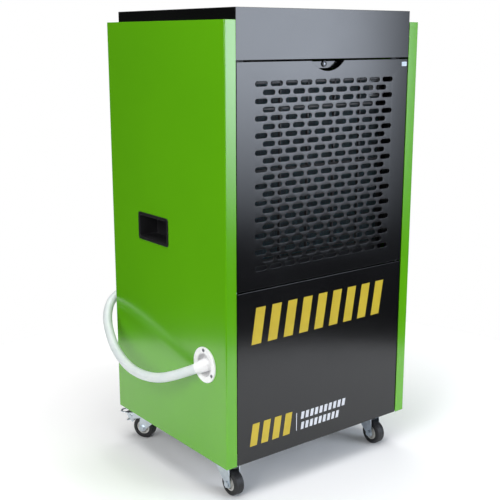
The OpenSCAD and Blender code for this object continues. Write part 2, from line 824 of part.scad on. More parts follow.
module hose_flange() {
    color(WHITE) difference() {
        union() {
            translate([-out_w, flange_y, flange_z]) rotate([0, -90, 0]) rotate_extrude() {
                square([flange_d / 2 - flange_t / 2, flange_t]);
                translate([flange_d / 2 - flange_t / 2, flange_t / 2]) circle(flange_t / 2);
                translate([flange_d / 2 - flange_t / 2, 0]) square([flange_t / 2, flange_t / 2]);
            }
            x_rod(-out_w - 1, -out_w - flange_t + cup_depth + 4, flange_y, flange_z, cup_d / 2 + cup_t);
        }
        x_rod(-out_w - flange_t - over, -out_w - flange_t + cup_depth, flange_y, flange_z, cup_d / 2);
        x_rod(-out_w, -out_w + 2 * cup_depth, flange_y, flange_z, drain_r);
        at_flange_screws() rotate([0, -90, 0]) cylinder(h = 20, r = 2.1, center = true);
    }
}

module at_flange_screws() {
    for (a = [90, 210, 330]) translate([-out_w, flange_y + flange_screw_r * cos(a), flange_z + flange_screw_r * sin(a)]) children();
}

module flange_screws() {
    color(ZINC) at_flange_screws() difference() {
        rotate([0, -90, 0]) union() {
            translate([0, 0, -8]) cylinder(h = 12.5, r = 2);
            translate([0, 0, flange_t]) cylinder(h = 1.6, r = 3.6);
        }
        for (a = [0, 90]) rotate([a, 0, 0]) block([-flange_t - 2, -2.2, -0.5], [-flange_t - 0.8, 2.2, 0.5]);
    }
}

// Unit direction of a route at point i
function route_dir(p, i) = unit(p[min(i + 1, len(p) - 1)] - p[max(i - 1, 0)]);
// Side direction carried along the route without twist
function route_side(p, i) = i == 0 ? unit(cross(route_dir(p, 0), [0, 0, 1]))
    : let (s = route_side(p, i - 1), d = route_dir(p, i)) unit(s - (s * d) * d);

module tube_along(p, r, sides) {
    n = len(p);
    frames = [for (i = [0 : n - 1]) let (s = route_side(p, i)) [s, cross(route_dir(p, i), s)]];
    ring_pts = [for (i = [0 : n - 1], k = [0 : sides - 1]) let (a = 360 * k / sides)
        p[i] + r * (cos(a) * frames[i][0] + sin(a) * frames[i][1])];
    walls = [for (i = [0 : n - 2], k = [0 : sides - 1]) let (j = (k + 1) % sides)
        [i * sides + k, (i + 1) * sides + k, (i + 1) * sides + j, i * sides + j]];
    polyhedron(points = ring_pts, faces = concat([[for (k = [0 : sides - 1]) k]], walls,
        [[for (k = [sides - 1 : -1 : 0]) (n - 1) * sides + k]]), convexity = 8);
}

module drain_hose() {
    color(WHITE) tube_along(hose_route, hose_d / 2, 10);
}

// Outer shape of the two turns that lie on the floor
module hose_coil() {
    color(WHITE) translate([coil_x, coil_y, 0]) rotate_extrude() {
        translate([coil_r - hose_d / 2, hose_d / 2]) square([hose_d, hose_d]);
        for (i = [0, 1]) translate([coil_r, hose_d * (i + 0.5)]) circle(hose_d / 2);
    }
}

// Clamp on the back panel that holds the hose
module hose_clip() {
    r = hose_d / 2 + fit_gap;
    y = y_back + clip_stand;
    x0 = clip_x - clip_w / 2;
    x1 = clip_x + clip_w / 2;
    color(BLACK) difference() {
        union() {
            x_rod(x0, x1, y, clip_z, r + clip_t);
            block([x0, y_back, clip_z - clip_w / 2], [x1, y - r + 1, clip_z + clip_w / 2]);
            block([x0, y_back, clip_z - 22], [x1, y_back + clip_t, clip_z + 22]);
        }
        x_rod(clip_x - clip_w, clip_x + clip_w, y, clip_z, r);
    }
}

module power_gland() {
    color(BLACK) difference() {
        union() {
            y_rod(gland_x, y_back - gland_in, y_back + gland_out, gland_z, gland_r - 2);
            y_rod(gland_x, y_back, y_back + 5, gland_z, gland_r + 2);
            y_rod(gland_x, y_back + 5, y_back + gland_out, gland_z, gland_r - 1);
            translate([gland_x, y_back + 13, gland_z]) rotate([90, 0, 0]) cylinder(h = 7, r = gland_r + 1.5, $fn = 6);
        }
        y_rod(gland_x, y_back - gland_in - over, y_back + gland_out + over, gland_z, gland_bore_r);
    }
}

// Screw heads on the back panel and on the back edges of the side covers
module panel_screws() {
    levels = [ground + 12, z_mid, z_lid - 14];
    color(ZINC) {
        for (x = [-1, 0, 1] * (panel_hw - 23), z = levels) y_rod(x, y_back, y_back + 2.2, z, 4);
        for (x = [-1, 1] * (hw + wing_t / 2), z = levels) y_rod(x, hd, hd + 2.2, z, 4);
    }
}

// --- castors -----------------------------------------------------------------------------

function castor_x(rear) = out_w - (rear ? castor_in_x_rear : castor_in_x);
function castor_y(rear) = rear ? hd - castor_in_back : -hd + castor_in_front;

module at_castors() {
    for (s = [-1, 1], rear = [false, true]) translate([s * castor_x(rear), castor_y(rear), 0]) children();
}

module at_castor_bolts() {
    at_castors() for (i = [-1, 1], j = [-1, 1]) translate([i * castor_bolt_x, j * castor_bolt_y, 0]) children();
}

module castor_plates() {
    race_z = crown_z + crown_t + race_h;
    color(ZINC) difference() {
        at_castors() union() {
            translate([0, 0, ground - top_t]) linear_extrude(top_t) round_rect2(top_l, top_w, 5);
            translate([0, 0, race_z + 0.3]) cylinder(h = ground - top_t - race_z, r = race_r + 1);
            translate([0, 0, crown_z - 1]) cylinder(h = ground - crown_z, r = king_r);
            translate([0, 0, crown_z - 5]) cylinder(h = 4.7, r = king_r + 4);
        }
        at_castor_bolts() translate([0, 0, ground - top_t - over]) cylinder(h = top_t + 2 * over, r = bolt_r + 0.3);
    }
}

module castor_bolts() {
    color(ZINC) at_castor_bolts() union() {
        translate([0, 0, ground - top_t - 4]) cylinder(h = 4, r = 5, $fn = 6);
        translate([0, 0, ground - top_t - 1]) cylinder(h = top_t + pan_t + 7, r = bolt_r);
        translate([0, 0, ground + pan_t]) cylinder(h = 5, r = 5, $fn = 6);
    }
}

// Side outline of a fork leg, drawn as trail direction and height
module leg2() {
    polygon([[-race_r - 2, crown_z + crown_t], [-race_r, crown_z - 9], [trail - foot_r, wheel_r - 2],
        [trail + foot_r, wheel_r], [race_r + 8, crown_z - 9], [race_r + 6, crown_z + crown_t]]);
    translate([trail, wheel_r]) circle(foot_r);
}

// Outline of the horn that carries the brake pedal's pivot
module horn2() {
    polygon([[race_r, crown_z + crown_t], [trail + pedal_y - 2, pedal_z + 8.5], [trail + pedal_y + 2, pedal_z - 8],
        [trail + pedal_y - 6, pedal_z - 7], [race_r + 4, crown_z - 16]]);
    translate([trail + pedal_y, pedal_z]) circle(8.5);
}

// Fork that trails towards +Y, swivel axis on the local Z axis; horn adds the brake pivot
module fork(horn) {
    end = leg_gap + leg_t;
    color(ZINC) difference() {
        union() {
            translate([0, 0, crown_z]) linear_extrude(crown_t) {
                circle(race_r + 2);
                translate([-end, -race_r + 1]) square([2 * end, 2 * race_r + 4]);
            }
            translate([0, 0, crown_z + 1]) cylinder(h = crown_t - 1 + race_h, r = race_r);
            for (x = [leg_gap, -end]) side_plate(x, leg_t) {
                leg2();
                if (horn) horn2();
            }
            x_rod(-end - axle_head, end + axle_head, trail, wheel_r, axle_r);
            for (s = [-1, 1]) translate([s * (end + axle_head / 2), trail, wheel_r]) rotate([0, 90, 0])
                cylinder(h = axle_head, r = 7, $fn = 6, center = true);
            if (horn) x_rod(-end - 1.5, end + 1.5, trail + pedal_y, pedal_z, pedal_r);
        }
        translate([0, 0, crown_z - 1]) cylinder(h = 12, r = king_r + run_gap);
    }
}

module wheel_rim() {
    color("#d6d6d2") translate([0, trail, wheel_r]) rotate([0, 90, 0]) difference() {
        rotate_extrude() {
            translate([0, -wheel_w / 2 + 5]) square([rim_r, wheel_w - 10]);
            translate([0, -wheel_w / 2 - 1]) square([hub_r, wheel_w + 2]);
            translate([rim_r - rim_band, -wheel_w / 2 + 2]) square([rim_band, wheel_w - 4]);
        }
        cylinder(h = wheel_w + 10, r = axle_r + run_gap, center = true);
        for (a = [0 : 60 : 300]) rotate([0, 0, a]) translate([rim_hole_at, 0, 0])
            cylinder(h = wheel_w, r = rim_hole_r, center = true);
    }
}

module tyre() {
    e = 4;
    color("#17171a") translate([0, trail, wheel_r]) rotate([0, 90, 0]) rotate_extrude() {
        translate([rim_r, -wheel_w / 2]) square([wheel_r - rim_r - e, wheel_w]);
        translate([rim_r, -wheel_w / 2 + e]) square([wheel_r - rim_r, wheel_w - 2 * e]);
        for (s = [-1, 1]) translate([wheel_r - e, s * (wheel_w / 2 - e)]) circle(e);
    }
}

// Brake pedal: two cheeks on the pivot, shoe bar beside the tyre, release lip, and the pressed plate
// with its foot loop
module pedal() {
    w = leg_gap - 0.6;
    t = 1.8;
    color(ZINC) translate([0, trail + pedal_y, pedal_z]) difference() {
        union() {
            for (x = [w - t, -w]) side_plate(x, t) {
                circle(7);
                translate([-2, -shoe_drop]) circle(3.5);
                polygon([[-5.5, -shoe_drop], [-6, 0], [6, 0], [1.5, -shoe_drop]]);
                polygon([[-3, -9], [2, -7], [12, -14.5], [9, -14.5]]);
                translate([0, -2]) square([pedal_l - loop_r, 7.5]);
            }
            x_rod(-w, w, -2, -shoe_drop, 2);
            translate([-w, 8.5, -14.5]) cube([2 * w, 5, 1.8]);
            translate([0, 0, 3.5]) linear_extrude(2) difference() {
                union() {
                    translate([-w, 3]) square([2 * w, pedal_l - 9]);
                    translate([0, pedal_l]) circle(loop_r);
                }
                translate([0, pedal_l]) circle(loop_r - 3.5);
            }
        }
        x_rod(-w - 1, w + 1, 0, 0, pedal_r + run_gap);
    }
}

// Castor frames: front castors trail to -Y, rear castors to +Y
module castor_at(left, rear) {
    turn = rear ? (left ? rear_left_turn : 0) : 180;
    translate([(left ? -1 : 1) * castor_x(rear), castor_y(rear), 0]) rotate([0, 0, turn]) children();
}

// --- nodes -------------------------------------------------------------------------------

base_pan();
corner_posts();
mid_deck();
left_side_cover();
right_side_cover();
left_handle_cup();
right_handle_cup();
back_panel();
lower_front_panel();
lid();
outlet_grille();
control_panel();
display_window();
control_board();
grille_door();
door_hinges();
lock_bracket();
door_lock();
air_filter();
evaporator_fins();
condenser_fins();
coil_end_plates();
coil_tubes();
drip_tray();
drain_pipe();
fan_scroll();
fan_impeller();
fan_motor();
compressor();
accumulator();
compressor_feet();
refrigerant_pipes();
electrical_box();
hose_flange();
flange_screws();
drain_hose();
hose_coil();
hose_clip();
power_gland();
panel_screws();
castor_plates();
castor_bolts();
castor_at(true, false) fork(false);  // fork_front_left
castor_at(false, false) fork(false);  // fork_front_right
castor_at(true, true) fork(true);  // fork_rear_left
castor_at(false, true) fork(true);  // fork_rear_right
castor_at(true, false) wheel_rim();  // rim_front_left
castor_at(false, false) wheel_rim();  // rim_front_right
castor_at(true, true) wheel_rim();  // rim_rear_left
castor_at(false, true) wheel_rim();  // rim_rear_right
castor_at(true, false) tyre();  // tyre_front_left
castor_at(false, false) tyre();  // tyre_front_right
castor_at(true, true) tyre();  // tyre_rear_left
castor_at(false, true) tyre();  // tyre_rear_right
castor_at(true, true) pedal();  // pedal_left
castor_at(false, true) pedal();  // pedal_right
button(0);  // button_power
button(1);  // button_mode
button(2);  // button_up
button(3);  // button_down
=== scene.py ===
# Looks for the cabinet dehumidifier: finishes, folded sheet edges, fins, filter, castor and hose detail
import json
import math

import bmesh
import bpy
from mathutils import Matrix, Vector
from mathutils.noise import random_vector, seed_set

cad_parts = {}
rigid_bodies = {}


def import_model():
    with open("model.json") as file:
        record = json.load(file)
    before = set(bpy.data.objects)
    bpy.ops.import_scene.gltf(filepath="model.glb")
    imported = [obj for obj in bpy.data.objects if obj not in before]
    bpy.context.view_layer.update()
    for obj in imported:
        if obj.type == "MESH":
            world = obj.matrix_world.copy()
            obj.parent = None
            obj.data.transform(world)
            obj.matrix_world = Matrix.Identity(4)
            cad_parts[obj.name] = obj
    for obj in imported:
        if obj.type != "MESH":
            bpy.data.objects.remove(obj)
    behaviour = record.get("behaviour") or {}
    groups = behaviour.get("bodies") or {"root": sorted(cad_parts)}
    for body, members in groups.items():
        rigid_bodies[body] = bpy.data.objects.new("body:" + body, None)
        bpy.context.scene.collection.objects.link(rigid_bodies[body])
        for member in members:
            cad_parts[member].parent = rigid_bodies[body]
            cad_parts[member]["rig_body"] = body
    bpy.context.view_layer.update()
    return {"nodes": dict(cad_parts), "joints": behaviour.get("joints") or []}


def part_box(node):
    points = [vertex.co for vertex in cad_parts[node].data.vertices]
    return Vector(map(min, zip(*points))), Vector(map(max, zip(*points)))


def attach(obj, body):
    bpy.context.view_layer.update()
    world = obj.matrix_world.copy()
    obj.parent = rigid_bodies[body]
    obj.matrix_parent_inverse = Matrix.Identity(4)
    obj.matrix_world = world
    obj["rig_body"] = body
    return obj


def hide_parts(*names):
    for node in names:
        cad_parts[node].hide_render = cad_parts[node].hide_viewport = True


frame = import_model()
nodes = frame["nodes"]
seed_set(7)
mm = 0.001
print("frame loaded:", len(nodes), "nodes")


# camera

camera = dict(place=(-1.2240, -1.5454, 0.9154), heading=37.68, pitch=13.10, lens=65.51)


def makeCamera():
    data = bpy.data.cameras.new("studioCamera")
    data.lens = camera["lens"]
    obj = bpy.data.objects.new("studioCamera", data)
    obj.location = camera["place"]
    obj.rotation_euler = (math.radians(90 - camera["pitch"]), 0, math.radians(-camera["heading"]))
    bpy.context.collection.objects.link(obj)
    bpy.context.scene.camera = obj


makeCamera()


# finishes

# base and shade are linear colours mixed by a noise of that size (per metre); rough varies by its spread
finishes = {
    "limeCoat": dict(base=(0.107, 0.390, 0.0030), shade=(0.098, 0.368, 0.0026), size=3, rough=0.18,
                     spread=0.03, grain=900, bump=0.04, coat=0.3),
    "blackCoat": dict(base=(0.0040, 0.0040, 0.0045), shade=(0.0026, 0.0026, 0.0030), size=5, rough=0.17,
                      spread=0.04, grain=1100, bump=0.05, coat=0.0),
    "blackPlastic": dict(base=(0.013, 0.013, 0.015), shade=(0.009, 0.009, 0.010), size=40, rough=0.42,
                         spread=0.08, grain=1600, bump=0.22, coat=0.0),
    "innerPaint": dict(base=(0.020, 0.021, 0.023), shade=(0.013, 0.014, 0.015), size=18, rough=0.45,
                       spread=0.1, grain=600, bump=0.1, coat=0.0),
    "motorEnamel": dict(base=(0.23, 0.25, 0.27), shade=(0.19, 0.21, 0.23), size=25, rough=0.4,
                        spread=0.1, grain=700, bump=0.12, coat=0.1),
    "whitePlastic": dict(base=(0.90, 0.90, 0.91), shade=(0.86, 0.86, 0.87), size=30, rough=0.28,
                         spread=0.06, grain=1300, bump=0.05, coat=0.2),
    "rimPlastic": dict(base=(0.60, 0.60, 0.57), shade=(0.52, 0.52, 0.50), size=60, rough=0.42,
                       spread=0.08, grain=1500, bump=0.12, coat=0.0),
    "keyPlastic": dict(base=(0.55, 0.56, 0.58), shade=(0.50, 0.51, 0.53), size=60, rough=0.38,
                       spread=0.06, grain=1500, bump=0.15, coat=0.0),
    "yellowPrint": dict(base=(0.56, 0.42, 0.022), shade=(0.50, 0.37, 0.018), size=30, rough=0.34,
                        spread=0.08, grain=1200, bump=0.05, coat=0.0),
    # this white is the dashes' print and also colours the pale plate that paints a highlight behind the
    # door's slots
    "whitePrintAndHighlight": dict(base=(0.66, 0.68, 0.72), shade=(0.60, 0.62, 0.66), size=30, rough=0.34,
                       spread=0.08, grain=1200, bump=0.05, coat=0.0),
    "paleLabel": dict(base=(0.60, 0.69, 0.76), shade=(0.55, 0.64, 0.71), size=60, rough=0.4,
                      spread=0.06, grain=1200, bump=0.05, coat=0.0),
    "boardGreen": dict(base=(0.012, 0.10, 0.035), shade=(0.010, 0.075, 0.03), size=200, rough=0.3,
                       spread=0.08, grain=900, bump=0.1, coat=0.2),
    "mountRubber": dict(base=(0.011, 0.011, 0.011), shade=(0.016, 0.016, 0.016), size=90, rough=0.62,
                        spread=0.12, grain=1400, bump=0.3, coat=0.0),
}


def newMaterial(name):
    mat = bpy.data.materials.new(name)
    mat.use_nodes = True
    tree = mat.node_tree
    shader = tree.nodes["Principled BSDF"]
    place = tree.nodes.new("ShaderNodeTexCoord")
    return mat, tree, shader, place


def addNode(tree, kind, links=(), **values):
    node = tree.nodes.new(kind)
    for key, value in values.items():
        setattr(node, key, value)
    for socket, source in links:
        tree.links.new(source, node.inputs[socket])
    return node


def noiseAt(tree, vector, size, detail=3.0, rough=0.55):
    node = addNode(tree, "ShaderNodeTexNoise", [("Vector", vector)])
    node.inputs["Scale"].default_value = size
    node.inputs["Detail"].default_value = detail
    node.inputs["Roughness"].default_value = rough
    return node


def rampOf(tree, source, stops):
    ramp = addNode(tree, "ShaderNodeValToRGB", [("Fac", source)])
    while len(ramp.color_ramp.elements) < len(stops):
        ramp.color_ramp.elements.new(0.5)
    for element, (at, colour) in zip(ramp.color_ramp.elements, stops):
        element.position = at
        element.color = (*colour, 1)
    return ramp


def rangeOf(tree, source, low, high):
    node = addNode(tree, "ShaderNodeMapRange", [("Value", source)])
    node.inputs["To Min"].default_value = low
    node.inputs["To Max"].default_value = high
    return node


def bumpOf(tree, source, strength, distance):
    node = addNode(tree, "ShaderNodeBump", [("Height", source)])
    node.inputs["Strength"].default_value = strength
    node.inputs["Distance"].default_value = distance
    return node


def coated(name):
    f = finishes[name]
    mat, tree, shader, place = newMaterial(name)
    at = place.outputs["Object"]
    broad = noiseAt(tree, at, f["size"])
    tint = rampOf(tree, broad.outputs["Fac"], [(0.3, f["shade"]), (0.7, f["base"])])
    tree.links.new(tint.outputs["Color"], shader.inputs["Base Color"])
    cloud = noiseAt(tree, at, f["size"] * 2.3, 5.0, 0.6)
    gloss = rangeOf(tree, cloud.outputs["Fac"], f["rough"] - f["spread"], f["rough"] + f["spread"])
    tree.links.new(gloss.outputs["Result"], shader.inputs["Roughness"])
    grain = noiseAt(tree, at, f["grain"], 2.0)
    bump = bumpOf(tree, grain.outputs["Fac"], f["bump"], 0.0002)
    tree.links.new(bump.outputs["Normal"], shader.inputs["Normal"])
    shader.inputs["Coat Weight"].default_value = f["coat"]
    shader.inputs["Coat Roughness"].default_value = 0.12
    return mat


def metal(name, bright, dull, size, rough, spread, bump, cells=False):
    mat, tree, shader, place = newMaterial(name)
    at = place.outputs["Object"]
    if cells:
        spangle = addNode(tree, "ShaderNodeTexVoronoi", [("Vector", at)])
        spangle.inputs["Scale"].default_value = size
        split = addNode(tree, "ShaderNodeSeparateColor", [("Color", spangle.outputs["Color"])])
        patch = split.outputs["Red"]
    else:
        patch = noiseAt(tree, at, size, 4.0, 0.6).outputs["Fac"]
    tint = rampOf(tree, patch, [(0.25, dull), (0.75, bright)])
    tree.links.new(tint.outputs["Color"], shader.inputs["Base Color"])
    gloss = rangeOf(tree, patch, rough + spread, rough - spread)
    tree.links.new(gloss.outputs["Result"], shader.inputs["Roughness"])
    grain = noiseAt(tree, at, 700, 3.0)
    relief = bumpOf(tree, grain.outputs["Fac"], bump, 0.0002)
    tree.links.new(relief.outputs["Normal"], shader.inputs["Normal"])
    shader.inputs["Metallic"].default_value = 1.0
    return mat


def tyreRubber():
    mat, tree, shader, place = newMaterial("tyreRubber")
    at = place.outputs["Object"]
    dust = noiseAt(tree, at, 120, 6.0, 0.65)
    worn = [(0.35, (0.006, 0.006, 0.007)), (0.8, (0.018, 0.018, 0.020))]
    tint = rampOf(tree, dust.outputs["Fac"], worn)
    tree.links.new(tint.outputs["Color"], shader.inputs["Base Color"])
    gloss = rangeOf(tree, dust.outputs["Fac"], 0.38, 0.6)
    tree.links.new(gloss.outputs["Result"], shader.inputs["Roughness"])
    grain = noiseAt(tree, at, 1800, 3.0)
    relief = bumpOf(tree, grain.outputs["Fac"], 0.3, 0.0002)
    tree.links.new(relief.outputs["Normal"], shader.inputs["Normal"])
    return mat


# soft white tube with a faint spiral, wound along the piece's own UV map
def hosePvc():
    mat, tree, shader, place = newMaterial("hosePvc")
    uv = place.outputs["UV"]
    cloud = noiseAt(tree, place.outputs["Object"], 35, 4.0)
    milky = [(0.3, (0.62, 0.68, 0.68)), (0.75, (0.72, 0.76, 0.76))]
    tint = rampOf(tree, cloud.outputs["Fac"], milky)
    tree.links.new(tint.outputs["Color"], shader.inputs["Base Color"])
    gloss = rangeOf(tree, cloud.outputs["Fac"], 0.26, 0.4)
    tree.links.new(gloss.outputs["Result"], shader.inputs["Roughness"])
    turn = addNode(tree, "ShaderNodeMapping", [("Vector", uv)])
    turn.inputs["Rotation"].default_value = (0, 0, 0.12)
    wave = addNode(tree, "ShaderNodeTexWave", [("Vector", turn.outputs["Vector"])], bands_direction="Y")
    wave.inputs["Scale"].default_value = 60
    relief = bumpOf(tree, wave.outputs["Fac"], 0.18, 0.0004)
    tree.links.new(relief.outputs["Normal"], shader.inputs["Normal"])
    shader.inputs["Subsurface Weight"].default_value = 0.12
    shader.inputs["Subsurface Radius"].default_value = (0.004, 0.004, 0.005)
    return mat


def smokedGlass():
    mat, tree, shader, place = newMaterial("smokedGlass")
    smear = noiseAt(tree, place.outputs["Object"], 60, 4.0)
    smoke = [(0.3, (0.010, 0.018, 0.022)), (0.8, (0.016, 0.028, 0.034))]
    tint = rampOf(tree, smear.outputs["Fac"], smoke)
    tree.links.new(tint.outputs["Color"], shader.inputs["Base Color"])
    gloss = rangeOf(tree, smear.outputs["Fac"], 0.04, 0.12)
    tree.links.new(gloss.outputs["Result"], shader.inputs["Roughness"])
    return mat


# coated fins: the colour runs in thin upright streaks
def finMaterial(name, light, dark, metallic):
    mat, tree, shader, place = newMaterial(name)
    stretch = addNode(tree, "ShaderNodeMapping", [("Vector", place.outputs["Object"])])
    stretch.inputs["Scale"].default_value = (420, 60, 34)
    streak = noiseAt(tree, stretch.outputs["Vector"], 1.0, 4.0, 0.65)
    tint = rampOf(tree, streak.outputs["Fac"], [(0.3, dark), (0.72, light)])
    tree.links.new(tint.outputs["Color"], shader.inputs["Base Color"])
    gloss = rangeOf(tree, streak.outputs["Fac"], 0.3, 0.48)
    tree.links.new(gloss.outputs["Result"], shader.inputs["Roughness"])
    shader.inputs["Metallic"].default_value = metallic
    return mat


looks = {name: coated(name) for name in finishes}
looks["galvanised"] = metal("galvanised", (0.62, 0.64, 0.66), (0.42, 0.44, 0.46), 90, 0.36, 0.1, 0.08,
                            cells=True)
looks["bluedZinc"] = metal("bluedZinc", (0.66, 0.71, 0.76), (0.47, 0.53, 0.59), 70, 0.32, 0.09, 0.1)
looks["copperTube"] = metal("copperTube", (0.80, 0.40, 0.24), (0.52, 0.24, 0.13), 60, 0.3, 0.1, 0.06)
looks["darkZinc"] = metal("darkZinc", (0.30, 0.31, 0.33), (0.20, 0.21, 0.23), 220, 0.42, 0.08, 0.06)
looks["tyreRubber"] = tyreRubber()
looks["hosePvc"] = hosePvc()
looks["smokedGlass"] = smokedGlass()
looks["tealFins"] = finMaterial("tealFins", (0.17, 0.36, 0.42), (0.05, 0.12, 0.15), 0.35)
looks["bareFins"] = finMaterial("bareFins", (0.60, 0.62, 0.64), (0.34, 0.36, 0.38), 0.9)
print("finishes made:", len(looks))


# mesh helpers

def finished(bm, name, body, look, smooth=True, angle=35):
    mesh = bpy.data.meshes.new(name)
    bm.to_mesh(mesh)
    bm.free()
    obj = bpy.data.objects.new(name, mesh)
    bpy.context.collection.objects.link(obj)
    mesh.materials.append(looks[look])
    if smooth:
        mesh.shade_smooth()
        mesh.set_sharp_from_angle(angle=math.radians(angle))
    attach(obj, body)
    return obj


def boxIn(bm, low, high):
    low, high = Vector(low), Vector(high)
    size = high - low
    place = Matrix.Translation((low + high) / 2) @ Matrix.Diagonal((*size, 1))
    return bmesh.ops.create_cube(bm, size=1, matrix=place)["verts"]


def edgesOf(verts):
    return list({e for v in verts for e in v.link_edges})


def bevelEdges(bm, edges, width, segments=2):
    bmesh.ops.bevel(bm, geom=edges, offset=width, offset_type="OFFSET", affect="EDGES",
                    segments=segments, profile=0.5, material=-1, clamp_overlap=True)


# a closed ring or disc from a profile of (radius, height) points spun about an axis
def spun(bm, profile, centre, axis, steps=48):
    centre, axis = Vector(centre), Vector(axis).normalized()
    side = axis.orthogonal().normalized()
    verts = [bm.verts.new(centre + side * r + axis * h) for r, h in profile]
    edges = [bm.edges.new(pair) for pair in zip(verts, verts[1:])]
    bmesh.ops.spin(bm, geom=verts + edges, cent=centre, axis=axis, angle=math.tau,
                   steps=steps, use_merge=True, use_duplicate=False)


# merge the seam and poles of spun shapes, then turn the faces outwards
def closeUp(bm):
    bmesh.ops.remove_doubles(bm, verts=bm.verts, dist=1e-6)
    bmesh.ops.dissolve_degenerate(bm, edges=bm.edges, dist=1e-6)
    bmesh.ops.recalc_face_normals(bm, faces=bm.faces)


# the CAD node's own shape with its folded or moulded edges rounded
def rounded(node, name, look, width):
    bm = bmesh.new()
    bm.from_mesh(nodes[node].data)
    bmesh.ops.remove_doubles(bm, verts=bm.verts, dist=2e-6)
    fold = math.radians(30)
    sharp = [e for e in bm.edges if len(e.link_faces) == 2 and e.calc_face_angle(0) > fold]
    bmesh.ops.bevel(bm, geom=sharp, offset=width, offset_type="OFFSET", affect="EDGES", segments=2,
                    profile=0.5, material=-1, clamp_overlap=False)
    obj = finished(bm, name, nodes[node]["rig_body"], look, angle=40)
    even = obj.modifiers.new("evenShading", "WEIGHTED_NORMAL")
    even.keep_sharp = True
    even.weight = 100
    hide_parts(node)


# a pan-head screw with a cross recess
def crossHead(bm, centre, axis, radius, height, recess):
    centre, axis = Vector(centre), Vector(axis).normalized()
    turn = axis.to_track_quat("Z", "Y").to_matrix().to_4x4()
    place = Matrix.Translation(centre) @ turn
    rings = []
    dome = ((radius, 0), (radius, height * 0.35), (radius * 0.86, height * 0.8), (radius * 0.6, height))
    for r, h in dome:
        spot = place @ Matrix.Translation((0, 0, h))
        rings.append(bmesh.ops.create_circle(bm, segments=24, radius=r, matrix=spot)["verts"])
    a, b = radius * 0.48, radius * 0.14
    plus = [(a, -b), (a, b), (b, b), (b, a), (-b, a), (-b, b),
            (-a, b), (-a, -b), (-b, -b), (-b, -a), (b, -a), (b, -b)]
    top = [bm.verts.new(place @ Vector((x, y, height * 0.96))) for x, y in plus]
    edges = [bm.edges.new((v, top[(k + 1) % len(top)])) for k, v in enumerate(top)]
    for low, high in zip(rings, rings[1:]):
        bmesh.ops.bridge_loops(bm, edges=ringEdges(low) + ringEdges(high))
    bmesh.ops.bridge_loops(bm, edges=ringEdges(rings[-1]) + edges)
    sunk = bmesh.ops.extrude_edge_only(bm, edges=edges)["geom"]
    floor = [g for g in sunk if isinstance(g, bmesh.types.BMVert)]
    outline = [g for g in sunk if isinstance(g, bmesh.types.BMEdge) and all(v in floor for v in g.verts)]
    bmesh.ops.translate(bm, verts=floor, vec=-axis * recess)
    bmesh.ops.contextual_create(bm, geom=outline)
    bmesh.ops.contextual_create(bm, geom=ringEdges(rings[0]))


def ringEdges(verts):
    ring = set(verts)
    return list({e for v in verts for e in v.link_edges if ring.issuperset(e.verts)})


# drain hose

hose = dict(diameter=0.020, wall=0.0028, step=0.006, sides=24, coilRadius=0.110,
            coilCentre=(0.060, 0.380), tieAngle=40, tieWidth=0.010)
# millimetres, from the flange's cup to the start of the coil
hoseRoute = [(-245, -144, 287), (-255, -134, 280), (-267, -120, 272), (-280, -103, 263),
             (-293, -82, 253), (-304, -56, 244), (-312, -26, 239), (-318, 6, 239), (-320, 40, 243),
             (-318, 76, 252), (-313, 112, 265), (-304, 146, 282), (-293, 176, 299), (-278, 202, 316),
             (-258, 223, 331), (-235, 235, 341), (-210, 239, 347), (-186, 240, 350), (-164, 240, 350),
             (-136, 240, 350), (-108, 240, 345), (-84, 240, 331), (-66, 240, 310), (-56, 240, 284),
             (-52, 240, 250), (-51, 240, 215), (-50, 240, 180), (-50, 243, 147), (-50, 252, 114),
             (-50, 269, 82), (-50, 293, 57), (-50, 322, 40), (-50, 352, 32), (-50, 380, 30)]


# the incoming hose is the top turn, which steps down a quarter turn before it passes under its own start
def coilPoints():
    x, y = hose["coilCentre"]
    r, d = hose["coilRadius"], hose["diameter"]
    points = []
    for k in range(1, 64):
        turned = k / 36
        down = min(max((turned - 0.75) / 0.25, 0), 1)
        height = d * (1.5 - down * down * (3 - 2 * down))
        a = math.pi - turned * math.tau
        points.append(Vector((x + r * math.cos(a), y + r * math.sin(a), height)))
    return points


def smoothLine(points, step):
    line = []
    ends = [2 * points[0] - points[1]] + points + [2 * points[-1] - points[-2]]
    for a, b, c, d in zip(ends, ends[1:], ends[2:], ends[3:]):
        count = max(1, round((c - b).length / step))
        for k in range(count):
            t = k / count
            line.append(0.5 * (2 * b + (c - a) * t + (2 * a - 5 * b + 4 * c - d) * t * t
                               + (3 * b - a - 3 * c + d) * t * t * t))
    return line + [points[-1]]


# a tube of rings along a line; radius is a number or a function of the length so far
def tubeAlong(bm, line, radius, sides):
    rings, marks, length = [], {}, 0.0
    side = None
    for k, point in enumerate(line):
        ahead = (line[min(k + 1, len(line) - 1)] - line[max(k - 1, 0)]).normalized()
        side = ahead.orthogonal() if side is None else side - ahead * side.dot(ahead)
        side.normalize()
        length += (point - line[k - 1]).length if k else 0
        spot = Matrix((side, ahead.cross(side), ahead)).transposed().to_4x4()
        spot.translation = point
        r = radius(length) if callable(radius) else radius
        verts = bmesh.ops.create_circle(bm, segments=sides, radius=r, matrix=spot)["verts"]
        for n, v in enumerate(verts):
            marks[v] = (n / sides, length)
        if rings:
            bmesh.ops.bridge_loops(bm, edges=ringEdges(rings[-1]) + ringEdges(verts))
        rings.append(verts)
    return rings, marks


def wrapUv(bm, marks):
    layer = bm.loops.layers.uv.new("alongTube")
    for face in bm.faces:
        spots = [marks.get(loop.vert, (0, 0)) for loop in face.loops]
        wraps = max(s[0] for s in spots) - min(s[0] for s in spots) > 0.5
        for loop, (turn, length) in zip(face.loops, spots):
            loop[layer].uv = (turn + (1 if wraps and turn < 0.5 else 0), length)


